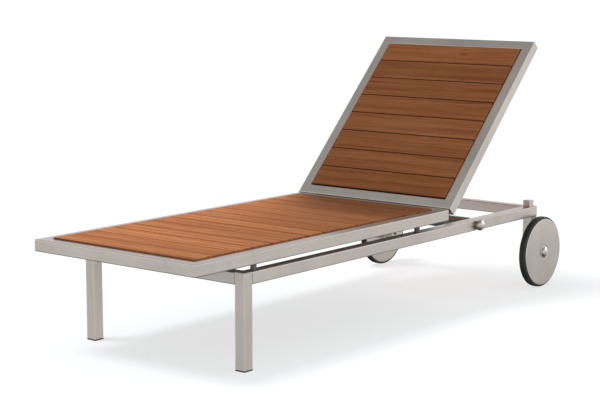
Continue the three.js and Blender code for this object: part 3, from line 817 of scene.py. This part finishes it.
GLIDE_LAP = 0.7  # the plug starts this far up the pad, as a share of its height
GLIDE_GAP = 0.2 * MM  # under the leg's cut end
GLIDE_PLAY = 0.6 * MM  # round the plug
LEAF = 2 * MM  # thickness of a hinge's plate
LEAF_CORNER = 0.5 * MM
LEAF_SCREWS = (-0.62, 0, 0.62)  # places, as shares of half the hinge's length
KNUCKLE_SHARE = 0.25  # outer knuckles, as a share of the hinge's length
KNUCKLE_CLEAR = 6 * MM  # from the pin's axis to the plate
KNUCKLE_LAP = 1 * MM  # a knuckle's tongue reaches this far into the plate
KNUCKLE_GAP = 0.3 * MM
PIN_SHARE = 0.5  # of a knuckle's radius
PIN_SET_BACK = 1 * MM


def add_glide(side):
    """A moulded foot: a pad under the leg with a plug up inside it."""
    node = f"leg_glide_{side}"
    lo, hi = local_box(node)
    mid = centre_of(lo, hi)
    leg_lo, _ = local_box(f"front_leg_{side}")
    pad = leg_lo.z - lo.z - GLIDE_GAP
    plug = TUBE - 2 * WALL - GLIDE_PLAY
    shell = Shell()
    rounded_bar(shell, 0, pad, hi.x - lo.x, hi.y - lo.y, 1.0 * MM, 3)
    rounded_bar(shell, GLIDE_LAP * pad, hi.z - lo.z, plug, plug, 1.2 * MM, 2)
    make(node + "_foot", shell, basis(Vector((mid.x, mid.y, lo.z)), Z, X), NYLON, node)


def add_stub(side):
    """A square block that the lowered back lies on, welded to the rail."""
    node = f"back_rest_stub_{side}"
    lo, hi = local_box(node)
    mid = centre_of(lo, hi)
    shell = Shell()
    rounded_bar(shell, 0, hi.z - lo.z, hi.x - lo.x, hi.y - lo.y, 1.6 * MM, 3)
    make(node + "_block", shell, basis(Vector((mid.x, mid.y, lo.z)), Z, X), BRUSHED, node)


def add_hinge_leaf(which, side):
    """One leaf of a butt hinge: a plate with three screws, and rolled knuckles. The pin
    belongs to the seat's leaf."""
    node = f"hinge_{which}_leaf_{side}"
    at, out = (BACK, 1) if which == "back" else (HINGE, -1)
    lo, hi = local_box(node, at)
    half, radius = (hi.x - lo.x) / 2, hi.z
    wall = hi.y if which == "back" else lo.y
    plate_y, plate_z = wall - out * LEAF / 2, (lo.z - KNUCKLE_CLEAR) / 2
    shell = Shell()
    rounded_bar(shell, -half, half, LEAF, -KNUCKLE_CLEAR - lo.z, LEAF_CORNER, 2)
    shell.moved(Matrix.Translation((0, plate_y, plate_z)))
    knuckle = 2 * half * KNUCKLE_SHARE
    if which == "back":
        spans = [(-knuckle + KNUCKLE_GAP, knuckle - KNUCKLE_GAP)]
    else:
        spans = [(-half, -half + knuckle), (half - knuckle, half)]
    tongue = KNUCKLE_CLEAR + KNUCKLE_LAP
    for a, b in spans:
        since = len(shell.points)
        rounded_bar(shell, a, b, LEAF, tongue, LEAF_CORNER, 2)
        shell.moved(Matrix.Translation((0, plate_y, -tongue / 2)), since)
        bar_x(shell, a, b, radius, LEAF_CORNER, 28)
    if which == "seat":
        pin, end = PIN_SHARE * radius, half - PIN_SET_BACK
        turned(shell, [(-end, 0, 0), (-end, pin, 0), (end, pin, 0), (end, 0, 0)], 20)
    for share in LEAF_SCREWS:
        head = Vector((share * half, wall - out * LEAF, plate_z))
        screw(shell, basis(head, -out * Y, X), LEAF_SCREW)
    place = at @ Matrix.Translation(((lo.x + hi.x) / 2, 0, 0))
    make(node + "_plate", shell, place, PLATE, node)


for side, _ in SIDES:
    add_glide(side)
    add_stub(side)
    add_hinge_leaf("seat", side)
    add_hinge_leaf("back", side)

# ------------------------------------------------------------------ prop and knobs

ARM_X = 206 * MM
ARM_DEPTH = 22 * MM
ARM_THICKNESS = 10 * MM
ARM_STEPS = 14
PROP_STUD, HEAD_BAR = 6 * MM, 7 * MM  # radii
PROP_CLEAR = 2 * MM  # between the cross tube and the base rails
BAR_EASE = 0.8 * MM
KNOB_THICKNESS = 18 * MM
KNOB_BACK_ROUND = 4 * MM
KNOB_DOME = 10 * MM
KNOB_NECK = 0.55  # as a share of the grip's radius
KNOB_BACK_STEPS, KNOB_DOME_STEPS = 8, 14
KNOB_WORN_STEPS = 4  # of the dome, from the rim


def arm_outline(length):
    """A flat bar with round ends, between two axes a length apart."""
    outline = []
    for reach, y in ((-ARM_DEPTH / 2, 0), (ARM_DEPTH / 2, length)):
        for i in range(ARM_STEPS + 1):
            a = math.pi * i / ARM_STEPS
            outline.append((y + reach * math.sin(a), -reach * math.cos(a)))
    return outline


def add_prop():
    """The folding prop: cross tube with studs, two flat arms and the head bar."""
    node = "prop_frame"
    points = points_of(node, PROP)
    half, reach, tube_radius = points.max(0)
    head_half = points[points[:, 1] > reach / 2, 0].max()
    head_y = reach - ARM_DEPTH / 2
    head_place = Matrix.Translation((0, head_y, 0))
    rail_lo, _ = local_box("base_side_rail_right")
    tube_half = rail_lo.x - PROP_CLEAR
    shell = Shell()
    bar_x(shell, -head_half, head_half, HEAD_BAR, BAR_EASE, 28)
    shell.moved(head_place)
    bar_x(shell, -tube_half, tube_half, tube_radius, 1.0 * MM, 48)
    bar_x(shell, -half, half, PROP_STUD, BAR_EASE, 28)
    for _, sign in SIDES:
        since = len(shell.points)
        plate(shell, arm_outline(head_y), -ARM_THICKNESS / 2, ARM_THICKNESS / 2, 0.6 * MM)
        shell.moved(Matrix.Translation((sign * ARM_X, 0, 0)), since)
        for face in (-1, 1):
            x = sign * ARM_X + face * (ARM_THICKNESS / 2 + 0.5 * MM)
            bead(shell, x, 1.6 * MM, tube_radius + 0.3 * MM, 48)
            since = len(shell.points)
            bead(shell, x, 1.2 * MM, HEAD_BAR + 0.2 * MM, 28)
            shell.moved(head_place, since)
    # its material carries the prop's painted shade
    make("prop_frame_welded", shell, PROP, PROP_SHADED_STEEL, node)


def add_knob(side, sign):
    """A turned hand knob: narrow neck, round grip and a softly domed face."""
    node = f"hand_knob_{side}"
    place, depth, radius = turned_place(node, sign)
    neck = KNOB_NECK * radius
    back = depth - KNOB_THICKNESS
    profile = [(0, 0, 0), *rounded([(0, 0), (0, neck), (back, neck)], 0.6 * MM)[1:-1]]
    profile += [(back, neck, 0.0), (back, radius - KNOB_BACK_ROUND, 0.0)]
    for i in range(1, KNOB_BACK_STEPS + 1):
        a = math.pi / 2 * i / KNOB_BACK_STEPS
        x = back + KNOB_BACK_ROUND * (1 - math.cos(a))
        profile.append((x, radius - KNOB_BACK_ROUND * (1 - math.sin(a)), SOFT_WEAR))
    for i in range(KNOB_DOME_STEPS):
        a = math.pi / 2 * i / KNOB_DOME_STEPS
        x = depth - KNOB_DOME * (1 - math.sin(a))
        profile.append((x, radius * math.cos(a), SOFT_WEAR if i < KNOB_WORN_STEPS else 0.0))
    shell = Shell()
    turned(shell, [*profile, (depth, 0, 0)], 64)
    return make(node + "_turned", shell, place, TURNED, node)


add_prop()

# ------------------------------------------------------------------ wheels

TYRE_CROWN = (  # in from the side, and down from the tread
    (0, 4.0 * MM),
    (2.2 * MM, 0.9 * MM),
    (5.5 * MM, 0.1 * MM),
)
TYRE_FOOT = 10 * MM  # how far the tyre reaches down between the discs
TYRE_STEP = 3 * MM  # the foot is narrower than the tyre by this on each side
DISC_SHEET = 2.5 * MM
DISC_BORE, DISC_HUB = 6.4 * MM, 20 * MM  # radii
DISC_FLANGE = 6 * MM  # flat rim of the outer disc
DISC_PROUD = 3 * MM  # the outer disc's edge beyond the tyre
DISC_STEPS = 8
DISC_RING = (  # a shallow ring in the face: radius, where the dome is read, and dip
    (27 * MM, 27 * MM, 0),
    (26.2 * MM, 26 * MM, 0.4 * MM),
    (25.2 * MM, 25 * MM, 0.4 * MM),
    (24.5 * MM, 24 * MM, 0),
)
BOLT, NUT, WASHER = 6 * MM, 9 * MM, 13 * MM  # radii
NUT_START, NUT_GAP = 2.0 * MM, 1.2 * MM  # from the bolt's end, and before the post
AXLE_GAP = 0.3 * MM
CAP_RIM = 1.6 * MM
CAP_STEPS = 10
CAP_WEAR = 0.2


def add_tyre(side, sign):
    """A solid tyre with a rounded tread and a foot that the discs clamp."""
    place, width, radius = turned_place(f"tyre_{side}", sign)
    _, _, disc_radius = turned_place(f"wheel_disc_{side}", sign)
    foot, rim = disc_radius - TYRE_FOOT, disc_radius + 0.2 * MM
    wall = [(TYRE_STEP, foot), (TYRE_STEP, rim), (0, rim)]
    wall += [(x, radius - drop) for x, drop in TYRE_CROWN]
    tread = [(width / 2 + x, radius) for x in (-0.5 * MM, 0, 0.5 * MM)]
    line = [*wall, *tread, *((width - x, r) for x, r in reversed(wall))]
    shell = Shell()
    turned(shell, rounded(line, 1.2 * MM), 128)
    make(f"tyre_{side}_ring", shell, place, RUBBER, f"tyre_{side}")


def add_disc(side, sign):
    """Two discs on a hub sleeve: a flat one inside, and a slightly domed one outside with
    a shallow ring round the hub."""
    node = f"wheel_disc_{side}"
    place, depth, radius = turned_place(node, sign)
    _, width, _ = turned_place(f"tyre_{side}", sign)
    flange = radius - DISC_FLANGE
    face, behind = width + DISC_PROUD, width - DISC_SHEET

    def dome(r):
        return face + (depth - face) * (1 - (r / radius) ** 2)

    rings = [DISC_HUB + (flange - DISC_HUB) * i / DISC_STEPS for i in range(DISC_STEPS + 1)]
    line = [(0, DISC_BORE), (0, radius - 0.8 * MM), (0.8 * MM, radius)]
    line += [(DISC_SHEET, radius), (DISC_SHEET, DISC_HUB)]
    line += [(dome(r) - DISC_SHEET, r) for r in rings]
    line += [(behind, flange + 1 * MM), (behind, radius)]
    line += [(face - 0.8 * MM, radius), (face, radius - 0.9 * MM)]
    line += [(dome(r), r) for r in reversed(rings[1:])]
    line += [(dome(read) - dip, r) for r, read, dip in DISC_RING]
    line += [(dome(DISC_BORE), DISC_BORE)]
    shell = Shell()
    turned(shell, rounded(line, 0.4 * MM, 2), 128)
    make(node + "_pressed", shell, place, TURNED, node)


def add_axle(side, sign):
    """The stub axle: hexagon nut and bolt end inside, washer, and a domed cap outside."""
    node = f"wheel_axle_{side}"
    place, length, cap = turned_place(node, sign)
    post_lo, post_hi = local_box(f"wheel_post_{side}", place)
    wheel_lo, wheel_hi = local_box(f"wheel_disc_{side}", place)
    shell = Shell()
    bar_x(shell, 0, wheel_hi.x + 1 * MM, BOLT, BAR_EASE, 32)
    corners = [math.pi / 3 * i for i in range(6)]
    nut = [(NUT * math.cos(a), NUT * math.sin(a)) for a in corners]
    plate(shell, nut, NUT_START, post_lo.x - NUT_GAP, 0.5 * MM)
    near, far = post_hi.x + AXLE_GAP, wheel_lo.x - AXLE_GAP
    washer = [(near, BOLT), (near, WASHER), (far, WASHER), (far, BOLT)]
    turned(shell, rounded(washer, 0.8 * MM, 2), 48)
    base = wheel_hi.x + AXLE_GAP
    rim = base + CAP_RIM
    edge = [(base, 0.5 * cap), (base, cap), (rim, cap)]
    profile = [(base, 0, 0), *rounded(edge, 0.5 * MM)[1:-1]]
    for i in range(CAP_STEPS):
        a = math.pi / 2 * i / CAP_STEPS
        x = rim + (length - rim) * math.sin(a)
        profile.append((x, 0.985 * cap * math.cos(a), CAP_WEAR))
    turned(shell, [*profile, (length, 0, 0)], 64)
    return make(node + "_cap", shell, place, TURNED, node)


SPARKLING = []  # small domed pieces that a lamp of their own picks out
for side, sign in SIDES:
    SPARKLING.append(add_knob(side, sign))
    add_tyre(side, sign)
    add_disc(side, sign)
    SPARKLING.append(add_axle(side, sign))

# ------------------------------------------------------------------ floor, light, camera

WORLD_LEVELS = (  # height of the direction, and brightness there
    (-1.0, 0.06),
    (-0.5, 0.2),
    (-0.25, 0.75),
    (-0.15, 0.8),
    (-0.08, 0.98),
    (0.0, 1.1),
    (0.13, 1.5),
    (0.3, 0.85),
    (0.6, 0.47),
    (1.0, 0.42),
)
WORLD_PEAK = 1.5
WORLD_SIDE = 0.03  # how much brighter the +X side is
FLOOR_HALF = 150.0
FLOOR_COLOUR = (0.44, 0.455, 0.465)
FLOOR_GLOW, GLOW_COLOUR = 0.64, (0.985, 0.995, 1.0)
FLOOR_DROP = 0.2 * MM  # below the feet
CAMERA_PLACE = (3.456, -4.4, 1.255)
CAMERA_AZIMUTH = 38.89
CAMERA_PITCH = 8.59
CAMERA_LENS = 94.8


def add_floor():
    """A pale sheet that glows a little, so that only the lounger's shadow tints it."""
    half = FLOOR_HALF
    corners = [(-half, -half, 0), (half, -half, 0), (half, half, 0), (-half, half, 0)]
    mesh = bpy.data.meshes.new("floor")
    mesh.from_pydata(corners, [], [(0, 1, 2, 3)])
    floor = bpy.data.objects.new("floor", mesh)
    floor.location.z = CAD_BOX[0].z - FLOOR_DROP
    bpy.context.scene.collection.objects.link(floor)
    g = Graph("floor")
    g.set(Base_Color=(*FLOOR_COLOUR, 1), Roughness=0.95)
    g.set(Emission_Color=(*GLOW_COLOUR, 1), Emission_Strength=FLOOR_GLOW)
    g.shader.inputs["Specular IOR Level"].default_value = 0.0
    floor.data.materials.append(g.material)
    floor.visible_glossy = False
    floor.visible_diffuse = False
    return floor


def add_lamp(name, kind, aim, power):
    data = bpy.data.lights.new(name, kind)
    data.energy = power
    lamp = bpy.data.objects.new(name, data)
    lamp.rotation_euler = aim.to_track_quat("-Z", "Y").to_euler()
    bpy.context.scene.collection.objects.link(lamp)
    return lamp


def add_light(name, place, target, size, power):
    """A round lamp that shines from a place at a target."""
    lamp = add_lamp(name, "AREA", Vector(target) - Vector(place), power)
    lamp.data.shape = "DISK"
    lamp.data.size = size
    lamp.location = place
    return lamp


def add_sun(name, direction, spread, strength):
    """A distant lamp that shines from a direction."""
    lamp = add_lamp(name, "SUN", -Vector(direction), strength)
    lamp.data.angle = math.radians(spread)
    return lamp


def link_light(lamp, pieces, state):
    """Makes a lamp light only these pieces (INCLUDE), or all but them (EXCLUDE)."""
    group = bpy.data.collections.new(lamp.name + "_receivers")
    for i, piece in enumerate(pieces):
        group.objects.link(piece)
        group.collection_objects[i].light_linking.link_state = state
    lamp.light_linking.receiver_collection = group


def add_world():
    """A pale studio: bright at the horizon, softer overhead, dim below it."""
    world = bpy.data.worlds.new("studio")
    bpy.context.scene.world = world
    world.use_nodes = True
    tree = world.node_tree
    direction = tree.nodes.new("ShaderNodeTexCoord").outputs["Generated"]
    split = tree.nodes.new("ShaderNodeSeparateXYZ")
    tree.links.new(direction, split.inputs[0])
    height = tree.nodes.new("ShaderNodeMapRange")
    height.inputs[1].default_value = -1.0
    tree.links.new(split.outputs[2], height.inputs[0])
    ramp = tree.nodes.new("ShaderNodeValToRGB")
    tree.links.new(height.outputs[0], ramp.inputs[0])
    elements = ramp.color_ramp.elements
    for element, (z, level) in zip(elements, (WORLD_LEVELS[0], WORLD_LEVELS[-1])):
        element.position, element.color = (z + 1) / 2, grey(level / WORLD_PEAK)
    for z, level in WORLD_LEVELS[1:-1]:
        elements.new((z + 1) / 2).color = grey(level / WORLD_PEAK)
    back = tree.nodes["Background"]
    tree.links.new(ramp.outputs[0], back.inputs["Color"])
    side = tree.nodes.new("ShaderNodeMath")
    side.operation = "MULTIPLY_ADD"
    tree.links.new(split.outputs[0], side.inputs[0])
    side.inputs[1].default_value = WORLD_SIDE * WORLD_PEAK
    side.inputs[2].default_value = WORLD_PEAK
    tree.links.new(side.outputs[0], back.inputs["Strength"])


def add_camera():
    data = bpy.data.cameras.new("camera")
    data.sensor_width = 36.0
    data.lens = CAMERA_LENS
    camera = bpy.data.objects.new("camera", data)
    turn = Matrix.Rotation(math.radians(CAMERA_AZIMUTH), 4, "Z")
    tilt = Matrix.Rotation(math.radians(90 - CAMERA_PITCH), 4, "X")
    camera.matrix_world = Matrix.Translation(CAMERA_PLACE) @ turn @ tilt
    bpy.context.scene.collection.objects.link(camera)
    bpy.context.scene.camera = camera


FLOOR = add_floor()
add_world()
key = add_light("key", (-1.3, 4.2, 2.3), (0, -0.2, 0.3), 2.2, 950)
key.visible_glossy = False
link_light(key, [FLOOR], "EXCLUDE")
spark = add_light("spark", (1.0, 3.6, 0.9), (0.37, 0.7, 0.2), 0.9, 60)
link_light(spark, SPARKLING, "INCLUDE")
shade = add_sun("shade", (-0.36, -0.3, 1.0), 20, 1.35)
link_light(shade, [FLOOR], "INCLUDE")
add_camera()
scene = bpy.context.scene
scene.view_settings.view_transform = "Standard"
scene.view_settings.look = "None"
